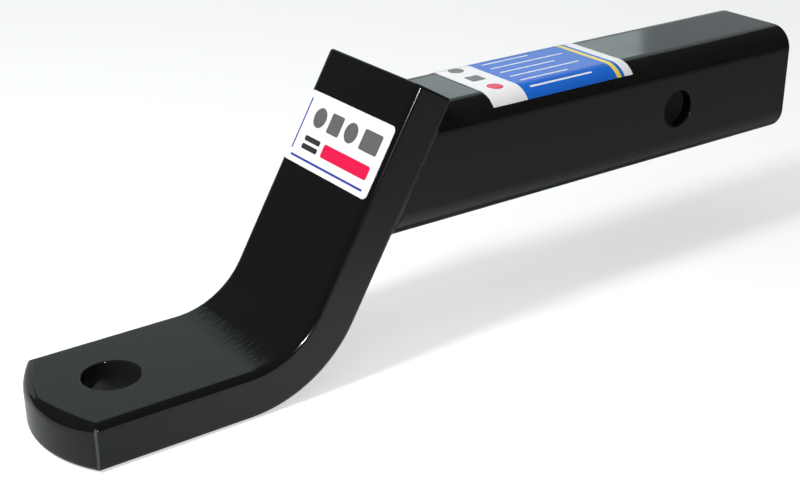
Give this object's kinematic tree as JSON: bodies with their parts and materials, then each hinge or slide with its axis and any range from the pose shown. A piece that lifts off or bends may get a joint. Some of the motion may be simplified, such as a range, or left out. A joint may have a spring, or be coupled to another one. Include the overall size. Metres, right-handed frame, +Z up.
{
  "type": "drop ball mount",
  "caption": "Drop ball mount: a hollow square hitch shank welded to a bent flat bar whose level, round-nosed platform takes a tow ball.",
  "frame": {"origin": "centre of the hitch pin hole, on the shank's axis", "axes": "+X along the shank to its open end, which goes into the receiver; +Y left; +Z up, the way the ball stands"},
  "size_m": [0.3698, 0.062, 0.1166],
  "materials": {
    "shank_coat": "gloss",
    "plate_coat": "gloss",
    "weld_coat": "gloss",
    "face_label": "gloss",
    "shank_label": "gloss"
  },
  "bodies": {
    "root": {"shank_tube": "shank_coat", "drop_plate": "plate_coat", "weld_bead": "weld_coat", "face_label": "face_label", "shank_label": "shank_label"}
  },
  "joints": []
}
